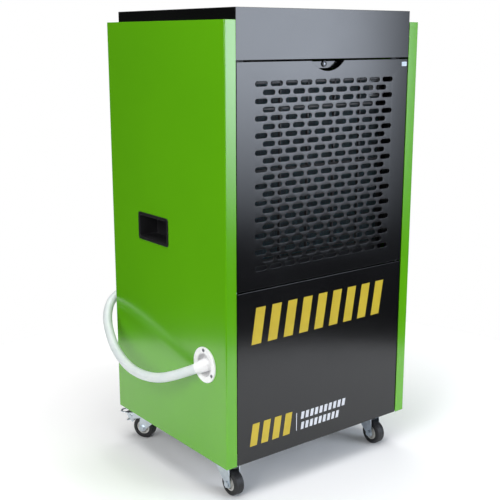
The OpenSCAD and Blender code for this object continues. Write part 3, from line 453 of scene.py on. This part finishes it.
def makeHose():
    route = [Vector(p) * mm for p in hoseRoute]
    line = smoothLine(route + coilPoints(), hose["step"])
    radius = hose["diameter"] / 2
    bm = bmesh.new()
    rings, marks = tubeAlong(bm, line, radius, hose["sides"])
    bmesh.ops.contextual_create(bm, geom=ringEdges(rings[0]))
    lip = bmesh.ops.contextual_create(bm, geom=ringEdges(rings[-1]))["faces"]
    bmesh.ops.inset_region(bm, faces=lip, thickness=hose["wall"], use_even_offset=True)
    bore = bmesh.ops.extrude_discrete_faces(bm, faces=lip)["faces"]
    back = (line[-3] - line[-1]).normalized() * 0.03
    bmesh.ops.translate(bm, verts=list({v for f in bore for v in f.verts}), vec=back)
    bmesh.ops.recalc_face_normals(bm, faces=bm.faces)
    wrapUv(bm, marks)
    obj = finished(bm, "drainHose", "cabinet", "hosePvc", angle=60)
    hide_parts("drain_hose", "hose_coil")
    tie = makeTie()
    return line


# a strap round both turns of the coil
def makeTie():
    x, y = hose["coilCentre"]
    r, d = hose["coilRadius"], hose["diameter"]
    bm = bmesh.new()
    verts = boxIn(bm, (r - d / 2 - 0.0012, -hose["tieWidth"] / 2, 0.0002),
                  (r + d / 2 + 0.0012, hose["tieWidth"] / 2, 2 * d + 0.0012))
    upright = [e for e in edgesOf(verts) if abs((e.verts[0].co - e.verts[1].co).normalized().y) > 0.9]
    bevelEdges(bm, upright, d * 0.42, 6)
    side = [f for f in bm.faces if abs(f.normal.y) > 0.9]
    bmesh.ops.delete(bm, geom=side, context="FACES")
    bmesh.ops.solidify(bm, geom=bm.faces[:], thickness=0.0009)
    bmesh.ops.rotate(bm, verts=bm.verts, cent=(0, 0, 0),
                     matrix=Matrix.Rotation(math.radians(hose["tieAngle"]), 3, "Z"))
    bmesh.ops.translate(bm, verts=bm.verts, vec=(x, y, 0))
    bmesh.ops.recalc_face_normals(bm, faces=bm.faces)
    return finished(bm, "hoseTie", "cabinet", "blackPlastic")


hoseLine = makeHose()


# cabinet sheets

# node: piece name, look, edge radius in millimetres, material slot
sheets = {
    "left_side_cover": ("leftCover", "limeCoat", 0.55, "side_green"),
    "right_side_cover": ("rightCover", "limeCoat", 0.55, "side_green"),
    "lid": ("lidSkin", "blackCoat", 0.7, "cabinet_black"),
    "lower_front_panel": ("lowerPanel", "blackCoat", 1.0, "cabinet_black"),
    "grille_door": ("slottedDoor", "blackCoat", 0.5, "cabinet_black"),
    "lock_bracket": ("lockPan", "blackCoat", 0.35, "cabinet_black"),
    "back_panel": ("backPanel", "blackCoat", 0.3, "cabinet_black"),
    "left_handle_cup": ("leftHandle", "blackPlastic", 0.5, "inner_black"),
    "right_handle_cup": ("rightHandle", "blackPlastic", 0.5, "inner_black"),
    "outlet_grille": ("outletGrille", "blackPlastic", 0.4, "inner_black"),
    "control_panel": ("controlPanel", "blackPlastic", 0.4, "inner_black"),
    "hose_clip": ("hoseClip", "blackPlastic", 0.4, "inner_black"),
    "power_gland": ("powerGland", "blackPlastic", 0.35, "inner_black"),
    "castor_plates": ("castorPlates", "bluedZinc", 0.3, "zinc_plate"),
    "castor_bolts": ("castorBolts", "bluedZinc", 0.25, "zinc_plate"),
    "pedal_left": ("leftPedal", "bluedZinc", 0.3, "zinc_plate"),
    "pedal_right": ("rightPedal", "bluedZinc", 0.3, "zinc_plate"),
}
corners = ("front_left", "front_right", "rear_left", "rear_right")
for corner in corners:
    sheets["fork_" + corner] = (corner.replace("_", "") + "Fork", "bluedZinc", 0.3, "zinc_plate")
    sheets["rim_" + corner] = (corner.replace("_", "") + "Rim", "rimPlastic", 0.3, "rim_grey")
for node, (name, look, width, slot) in sheets.items():
    rounded(node, name, look, width * mm)
print("sheets and mouldings rounded:", len(sheets))


# prints on the lower panel

# bands of plain slanted bars: left, right, bottom, top, number of bars, share that is printed
prints = {
    "bigStripes": (-0.189, 0.173, 0.331, 0.405, 9, 0.58, "yellowPrint"),
    "smallStripes": (-0.193, -0.082, 0.117, 0.164, 4, 0.62, "yellowPrint"),
    "upperDashes": (-0.059, 0.068, 0.1415, 0.157, 10, 0.62, "whitePrintAndHighlight"),
    "lowerDashes": (-0.059, 0.050, 0.1185, 0.134, 9, 0.62, "whitePrintAndHighlight"),
    "divider": (-0.0712, -0.0694, 0.119, 0.158, 1, 1.0, "whitePrintAndHighlight"),
}
printLean = 0.16


def makePrints():
    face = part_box("lower_front_panel")[0].y
    for name, (x0, x1, z0, z1, count, share, look) in prints.items():
        bm = bmesh.new()
        lean = printLean * (z1 - z0) if count > 1 else 0
        pitch = (x1 - x0 - lean) / (count - 1 + share)
        for k in range(count):
            a = x0 + k * pitch
            verts = boxIn(bm, (a, face - 0.00012, z0), (a + pitch * share, face + 0.0003, z1))
            for v in verts:
                v.co.x += lean * (v.co.z - z0) / (z1 - z0)
        finished(bm, name, "cabinet", look, smooth=False)


makePrints()
print("prints made:", len(prints))


# door details

label = dict(low=(0.2062, 0.8590), high=(0.2208, 0.8680), thick=0.0003, sunk=0.0002, corner=0.0012)
lock = dict(ring=0.0061, bore=0.0026, proud=0.0011, foot=-0.0004, core=0.0024, coreProud=0.0007)


def makeDoorDetails():
    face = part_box("grille_door")[0].y
    bm = bmesh.new()
    (x0, z0), (x1, z1) = label["low"], label["high"]
    verts = boxIn(bm, (x0, face - label["thick"], z0), (x1, face + label["sunk"], z1))
    upright = [e for e in edgesOf(verts) if abs(e.verts[0].co.y - e.verts[1].co.y) > 1e-4]
    bevelEdges(bm, upright, label["corner"], 3)
    finished(bm, "plainLabel", "door", "paleLabel")
    low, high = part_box("door_lock")
    front, axis = low.y, Vector((0, -1, 0))
    centre = Vector((0, front, (low.z + high.z) / 2))
    ring, bore, proud, foot = lock["ring"], lock["bore"], lock["proud"], lock["foot"]
    bm = bmesh.new()
    spun(bm, [(ring, foot), (ring, proud - 0.0005), (ring - 0.0004, proud), (bore + 0.0006, proud),
              (bore, -foot), (bore, foot)], centre, axis, 40)
    closeUp(bm)
    finished(bm, "lockRing", "cam_lock", "blackPlastic")
    core, top = lock["core"], lock["coreProud"]
    bm = bmesh.new()
    spun(bm, [(0.0, top), (core - 0.0005, top), (core, 0.0003), (core, -0.0003), (0.0, -0.0003)],
         centre, axis, 32)
    closeUp(bm)
    boxIn(bm, centre + Vector((-0.0003, -0.00085, -0.0015)), centre + Vector((0.0003, 0, 0.0015)))
    finished(bm, "lockCore", "cam_lock", "darkZinc")


makeDoorDetails()
print("door details made")


# filter and coil behind the slots

filterMesh = dict(border=0.009, rib=0.004, columns=5, rows=6, thread=0.00045, pitch=0.0034,
                  side=0.004, depth=0.006, tuck=0.002)
# a pale plate whose colour paints the highlight of light caught on the coil's end plate behind the upper
# right slots
highlightPatch = dict(low=(0.150, 0.797), high=(0.184, 0.842), thick=0.0004, bow=0.0012)
finStack = dict(pitch=0.0023, thick=0.00018, tubeRadius=0.0048, rowGap=0.0254)


def makeFilter():
    low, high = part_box("air_filter")
    f = filterMesh
    z0, z1 = low.z, high.z
    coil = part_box("evaporator_fins")
    x0, x1 = coil[0].x + f["side"], coil[1].x - f["side"]
    y0, y1 = high.y - f["depth"], high.y
    bm = bmesh.new()
    wide, tall = x1 - x0 - f["border"], z1 - z0 - f["border"]
    across = [x0] + [x0 + f["border"] + wide * k / f["columns"] for k in range(1, f["columns"])]
    up = [z0] + [z0 + f["border"] + tall * k / f["rows"] for k in range(1, f["rows"])]
    for k, x in enumerate(across):
        boxIn(bm, (x, y0, z0), (x + (f["rib"] if k else f["border"]), y1, z1))
    boxIn(bm, (x1 - f["border"], y0, z0), (x1, y1, z1))
    for k, z in enumerate(up):
        boxIn(bm, (x0, y0, z), (x1, y1, z + (f["rib"] if k else f["border"])))
    boxIn(bm, (x0, y0, z1 - f["border"]), (x1, y1, z1))
    bevelEdges(bm, bm.edges[:], 0.0004, 1)
    frameObj = finished(bm, "filterFrame", "cabinet", "blackPlastic", smooth=False)
    bm = bmesh.new()
    t = f["thread"] / 2
    y = (y0 + y1) / 2
    for k in range(1, int((x1 - x0) / f["pitch"])):
        x = x0 + k * f["pitch"]
        boxIn(bm, (x - t, y - t, z0 + f["tuck"]), (x + t, y + t, z1 - f["tuck"]))
    for k in range(1, int((z1 - z0) / f["pitch"])):
        z = z0 + k * f["pitch"]
        boxIn(bm, (x0 + f["tuck"], y + t * 0.6, z - t), (x1 - f["tuck"], y + t * 2.6, z + t))
    finished(bm, "filterThreads", "cabinet", "innerPaint", smooth=False)
    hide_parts("air_filter")


def makeFins(node, name, look):
    low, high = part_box(node)
    f = finStack
    bm = bmesh.new()
    count = int((high.x - low.x) / f["pitch"])
    for k in range(count + 1):
        x = low.x + (high.x - low.x - f["thick"]) * k / count
        verts = boxIn(bm, (x, low.y, low.z), (x + f["thick"], high.y, high.z))
        lean = random_vector() * 0.00035
        for v in verts:
            if v.co.y < low.y + 1e-5:
                v.co.x += lean.x * (1 if v.co.z > low.z + 0.1 else -1)
    obj = finished(bm, name, "cabinet", look, smooth=False)
    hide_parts(node)
    rows = (low.y + (high.y - low.y) * 0.29, low.y + (high.y - low.y) * 0.71)
    along, r = Matrix.Rotation(math.pi / 2, 4, "Y"), f["tubeRadius"]
    bm = bmesh.new()
    for y in rows:
        z = low.z + f["rowGap"] / 2
        while z < high.z:
            spot = Matrix.Translation(((low.x + high.x) / 2, y, z)) @ along
            bmesh.ops.create_cone(bm, cap_ends=True, segments=20, radius1=r, radius2=r,
                                  depth=high.x - low.x, matrix=spot)
            z += f["rowGap"]
    finished(bm, name + "Tubes", "cabinet", "copperTube")


# a pale plate on the front of the coil: a painted highlight standing in for light caught on the coil's
# end plate behind the slots
def makeHighlightPatch():
    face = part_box("evaporator_fins")[0].y
    (x0, z0), (x1, z1) = highlightPatch["low"], highlightPatch["high"]
    bm = bmesh.new()
    boxIn(bm, (x0, face - highlightPatch["thick"], z0), (x1, face, z1))
    bmesh.ops.subdivide_edges(bm, edges=bm.edges[:], cuts=5, use_grid_fill=True)
    for v in bm.verts:
        bulge = math.sin(math.pi * (v.co.x - x0) / (x1 - x0))
        v.co.y -= highlightPatch["bow"] * bulge * (z1 - v.co.z) / (z1 - z0)
    finished(bm, "highlightPatch", "cabinet", "whitePrintAndHighlight")


makeFilter()
makeHighlightPatch()
makeFins("evaporator_fins", "evaporatorFins", "tealFins")
makeFins("condenser_fins", "condenserFins", "bareFins")
print("filter and fins made")


# hose flange

flange = dict(radius=0.0365, thick=0.004, cup=0.0235, depth=0.015, lip=0.0016, wall=0.0015,
              outlet=0.010, screwAt=0.031, screw=0.0036)
# the sleeve meets the hose at that point of the hose's line
sleeve = dict(foot=(-0.2395, -0.1435, 0.2870), radius=0.0145, wall=0.0006, rib=0.0006, pitch=0.003,
              meets=4)


def makeFlange():
    low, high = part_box("hose_flange")
    f = flange
    face = low.x + f["thick"]
    centre = Vector((face, (low.y + high.y) / 2, (low.z + high.z) / 2))
    out = Vector((-1, 0, 0))
    t, r, cup, lip = f["thick"], f["radius"], f["cup"], f["lip"]
    base, hole, outer = t - f["depth"], f["outlet"], cup + f["wall"]
    arc = [math.radians(k * 18) for k in range(6)]
    rimArc = [(r - t / 2 + t / 2 * math.sin(a), t / 2 + t / 2 * math.cos(a)) for a in arc]
    lipArc = [(cup + lip - lip * math.sin(a), t - lip + lip * math.cos(a)) for a in reversed(arc)]
    profile = [(hole, base), (cup - 0.002, base), (cup, base + 0.002)]
    profile += lipArc + rimArc
    profile += [(r, 0.0), (outer, 0.0), (outer, base - 0.002), (hole, base - 0.002), (hole, base)]
    bm = bmesh.new()
    spun(bm, profile, centre, out, 72)
    closeUp(bm)
    obj = finished(bm, "hoseFlange", "cabinet", "whitePlastic", angle=35)
    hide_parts("hose_flange")
    bm = bmesh.new()
    for angle in (90, 210, 330):
        a = math.radians(angle)
        spot = centre + Vector((-t, f["screwAt"] * math.cos(a), f["screwAt"] * math.sin(a)))
        crossHead(bm, spot, out, f["screw"], 0.0016, 0.0011)
    bmesh.ops.recalc_face_normals(bm, faces=bm.faces)
    screws = finished(bm, "flangeScrews", "cabinet", "darkZinc", angle=30)
    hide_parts("flange_screws")


# ribbed sleeve that narrows from the cup onto the hose
def makeSleeve():
    w = sleeve
    foot, meet = Vector(w["foot"]), hoseLine[w["meets"]]
    line = smoothLine([foot, hoseLine[1], meet, hoseLine[w["meets"] + 1]], 0.0005)
    total = sum((b - a).length for a, b in zip(line, line[1:]))
    small = hose["diameter"] / 2 + w["wall"]

    def radius(length):
        swell = 0.5 + 0.5 * math.cos(math.tau * length / w["pitch"])
        return small + (w["radius"] - small) * (1 - length / total) + w["rib"] * swell

    bm = bmesh.new()
    rings, marks = tubeAlong(bm, line, radius, 48)
    bmesh.ops.contextual_create(bm, geom=ringEdges(rings[0]))
    bmesh.ops.contextual_create(bm, geom=ringEdges(rings[-1]))
    bmesh.ops.recalc_face_normals(bm, faces=bm.faces)
    wrapUv(bm, marks)
    finished(bm, "ribbedSleeve", "cabinet", "whitePlastic", angle=60)


makeFlange()
makeSleeve()
print("flange and sleeve made")


# castors

wheel = dict(radius=0.026, width=0.022, rim=0.016, shoulder=0.0042, groove=0.0006)
race = dict(balls=16, circle=0.0185, ball=0.0022, lift=0.0002)


def jointOf(name):  # the record's entry of that joint
    return next(j for j in frame["joints"] if j["name"] == name)


# a tread with two grooves between rounded shoulders
def makeTyre(corner):
    joint = jointOf("roll_" + corner)
    centre, axle = Vector(joint["pos_m"]), Vector(joint["axis"])
    w = wheel
    half, r, s = w["width"] / 2, w["radius"], w["shoulder"]
    arc = [math.radians(k * 15) for k in range(7)]
    left = [(r - s + s * math.sin(a), -half + s - s * math.cos(a)) for a in arc]
    tread = []
    for x in (-0.0035, 0.0035):
        low = r - w["groove"]
        tread += [(r, x - 0.0006), (low, x - 0.0003), (low, x + 0.0003), (r, x + 0.0006)]
    right = [(r - s + s * math.cos(a), half - s + s * math.sin(a)) for a in arc]
    profile = [(w["rim"], -half + 0.001), (w["rim"] + 0.001, -half)] + left + tread + right
    profile += [(w["rim"] + 0.001, half), (w["rim"], half - 0.001), (w["rim"], -half + 0.001)]
    bm = bmesh.new()
    spun(bm, profile, centre, axle, 72)
    closeUp(bm)
    name = corner.replace("_", "") + "Tyre"
    obj = finished(bm, name, "wheel_" + corner, "tyreRubber", angle=50)
    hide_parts("tyre_" + corner)


# the ring of balls between the plate and the fork's crown
def makeRace(corner):
    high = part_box("fork_" + corner)[1]
    x, y = jointOf("swivel_" + corner)["pos_m"][:2]
    bm = bmesh.new()
    for k in range(race["balls"]):
        a = math.tau * k / race["balls"]
        across, along = race["circle"] * math.cos(a), race["circle"] * math.sin(a)
        spot = Matrix.Translation((x + across, y + along, high.z + race["lift"]))
        bmesh.ops.create_icosphere(bm, subdivisions=2, radius=race["ball"], matrix=spot)
    name = corner.replace("_", "") + "Balls"
    finished(bm, name, "castor_" + corner, "bluedZinc", angle=80)


for corner in corners:
    makeTyre(corner)
    makeRace(corner)
print("castors made")


# screws and keys

panelScrew = dict(radius=0.004, height=0.0022, recess=0.0014, middle=0.357, inset=0.023)
key = dict(radius=0.008, dish=0.0006, collar=0.0016, collarFoot=0.0018, collarTop=0.0036, stem=0.003)


def makeScrews():
    low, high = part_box("panel_screws")
    backLow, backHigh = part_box("back_panel")
    coverLow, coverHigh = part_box("left_side_cover")
    w = panelScrew
    levels = (low.z + w["radius"], backLow.z + w["middle"], high.z - w["radius"])
    inset = backHigh.x - w["inset"]
    spots = [(x, backHigh.y, z) for x in (-inset, 0, inset) for z in levels]
    middle = (coverLow.x + backLow.x - 0.0015) / 2
    spots += [(x, coverHigh.y, z) for x in (middle, -middle) for z in levels]
    bm = bmesh.new()
    for spot in spots:
        crossHead(bm, spot, (0, 1, 0), w["radius"], w["height"], w["recess"])
    bmesh.ops.recalc_face_normals(bm, faces=bm.faces)
    obj = finished(bm, "panelScrews", "cabinet", "bluedZinc", angle=30)
    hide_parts("panel_screws")


def makeKeys():
    for name in ("power", "mode", "up", "down"):
        low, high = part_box("button_" + name)
        centre = Vector(((low.x + high.x) / 2, (low.y + high.y) / 2, 0))
        r, top, dish, stem = key["radius"], high.z, key["dish"], key["stem"]
        wide, foot, shelf = r + key["collar"], low.z + key["collarFoot"], low.z + key["collarTop"]
        profile = [(0, top - dish), (r * 0.4, top - dish * 0.8), (r * 0.75, top - dish * 0.2),
                   (r * 0.9, top), (r * 0.97, top - 0.0003), (r, top - 0.001), (r, shelf), (wide, shelf),
                   (wide, foot), (stem, foot), (stem, low.z), (0, low.z)]
        bm = bmesh.new()
        spun(bm, profile, centre, (0, 0, 1), 48)
        closeUp(bm)
        obj = finished(bm, name + "Key", "key_" + name, "keyPlastic", angle=40)
        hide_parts("button_" + name)


makeScrews()
makeKeys()
print("screws and keys made")


# finishes of the remaining CAD nodes

inside = {
    "galvanised": ["base_pan", "coil_end_plates"],
    "innerPaint": ["corner_posts", "mid_deck", "drip_tray", "fan_scroll", "fan_impeller", "compressor",
                   "accumulator"],
    "motorEnamel": ["fan_motor", "electrical_box"],
    "bluedZinc": ["door_hinges", "door_lock"],
    "copperTube": ["coil_tubes", "refrigerant_pipes"],
    "whitePlastic": ["drain_pipe"],
    "mountRubber": ["compressor_feet"],
    "smokedGlass": ["display_window"],
    "boardGreen": ["control_board"],
}
for look, names in inside.items():
    for name in names:
        obj = nodes[name]
        obj.data.materials.clear()
        obj.data.materials.append(looks[look])
for obj in nodes.values():
    if obj.hide_render:
        obj.data.materials.clear()
        obj.data.materials.append(looks["innerPaint"])
print("inner nodes finished")


# studio

# the glows are radiances against a white of 1
studio = dict(floorRadius=1.03, edgeGlow=0.22, roomGlow=0.02, softGlow=0.14)
lights = {
    "topBox": dict(place=(0, 0, 2.7), aim=(0, 0, 0), width=2.6, height=2.6, power=84),
    "sideBox": dict(place=(-2.0, -0.9, 1.4), aim=(-0.25, -0.15, 0.6), width=1.0, height=1.2, power=32),
}
card = dict(centre=(1.286, -2.012, 0.78), facing=(-0.675, 0.738, 0), width=1.50, height=1.50,
            colour=(0.90, 0.98, 1.12), glow=7.4, rise=0.50, edge=0.33)


# a pale disc that brightens towards its edge, so that it runs into the white behind
def paleFloor():
    mat, tree, shader, place = newMaterial("paleFloor")
    cloud = noiseAt(tree, place.outputs["Object"], 1.2)
    tint = rampOf(tree, cloud.outputs["Fac"], [(0.3, (0.90, 0.90, 0.90)), (0.7, (0.93, 0.93, 0.93))])
    tree.links.new(tint.outputs["Color"], shader.inputs["Base Color"])
    shader.inputs["Roughness"].default_value = 0.6
    away = addNode(tree, "ShaderNodeVectorMath", [(0, place.outputs["Object"])], operation="LENGTH")
    lift = rangeOf(tree, away.outputs["Value"], 0, studio["edgeGlow"])
    lift.inputs["From Min"].default_value = studio["floorRadius"] * 0.4
    lift.inputs["From Max"].default_value = studio["floorRadius"] * 0.95
    tree.links.new(lift.outputs["Result"], shader.inputs["Emission Strength"])
    shader.inputs["Emission Color"].default_value = (1, 1, 1, 1)
    bm = bmesh.new()
    bmesh.ops.create_circle(bm, cap_ends=True, segments=128, radius=studio["floorRadius"])
    mesh = bpy.data.meshes.new("studioFloor")
    bm.to_mesh(mesh)
    bm.free()
    obj = bpy.data.objects.new("studioFloor", mesh)
    mesh.materials.append(mat)
    bpy.context.collection.objects.link(obj)


def softbox(name, place, aim, width, height, power):
    data = bpy.data.lights.new(name, "AREA")
    data.shape = "RECTANGLE"
    data.size, data.size_y = width, height
    data.energy = power
    obj = bpy.data.objects.new(name, data)
    obj.location = place
    obj.rotation_euler = (Vector(aim) - Vector(place)).to_track_quat("-Z", "Y").to_euler()
    obj.visible_camera = False
    bpy.context.collection.objects.link(obj)


# a tall softbox whose light fades towards its foot and towards its far side
def fadingCard():
    mat, tree, shader, place = newMaterial("fadingCard")
    split = addNode(tree, "ShaderNodeSeparateXYZ", [("Vector", place.outputs["UV"])])
    across = addNode(tree, "ShaderNodeMapRange", [("Value", split.outputs["X"])],
                     interpolation_type="SMOOTHSTEP")
    across.inputs["From Max"].default_value = card["edge"]
    upward = rangeOf(tree, split.outputs["Y"], 0, card["glow"])
    upward.inputs["From Max"].default_value = card["rise"]
    both = addNode(tree, "ShaderNodeMath",
                   [(0, across.outputs["Result"]), (1, upward.outputs["Result"])], operation="MULTIPLY")
    tree.links.new(both.outputs["Value"], shader.inputs["Emission Strength"])
    shader.inputs["Emission Color"].default_value = (*card["colour"], 1)
    shader.inputs["Base Color"].default_value = (0, 0, 0, 1)
    turn = Vector(card["facing"]).to_track_quat("Z", "Y").to_matrix().to_4x4()
    size = Matrix.Diagonal((card["width"], card["height"], 1, 1))
    bm = bmesh.new()
    bm.loops.layers.uv.new("spread")
    spot = Matrix.Translation(card["centre"]) @ turn @ size
    bmesh.ops.create_grid(bm, size=0.5, matrix=spot, calc_uvs=True)
    mesh = bpy.data.meshes.new("fadingCard")
    bm.to_mesh(mesh)
    bm.free()
    mesh.materials.append(mat)
    obj = bpy.data.objects.new("fadingCard", mesh)
    obj.visible_camera = False
    bpy.context.collection.objects.link(obj)


# white behind the object, a soft fill on matt faces and a dim room in glossy ones
def makeWorld():
    world = bpy.data.worlds.new("studioRoom")
    world.use_nodes = True
    tree = world.node_tree
    path = addNode(tree, "ShaderNodeLightPath")
    shader = tree.nodes["Background"]
    shader.inputs["Color"].default_value = (1, 1, 1, 1)
    shader.inputs["Strength"].default_value = studio["roomGlow"]
    for ray, strength in (("Is Diffuse Ray", studio["softGlow"]), ("Is Camera Ray", 1)):
        other = addNode(tree, "ShaderNodeBackground")
        other.inputs["Color"].default_value = (1, 1, 1, 1)
        other.inputs["Strength"].default_value = strength
        shader = addNode(tree, "ShaderNodeMixShader",
                         [("Fac", path.outputs[ray]), (1, shader.outputs[0]), (2, other.outputs[0])])
    tree.links.new(shader.outputs["Shader"], tree.nodes["World Output"].inputs["Surface"])
    bpy.context.scene.world = world


paleFloor()
makeWorld()
fadingCard()
for name, values in lights.items():
    softbox(name, **values)
bpy.context.scene.view_settings.view_transform = "Standard"
print("studio set")
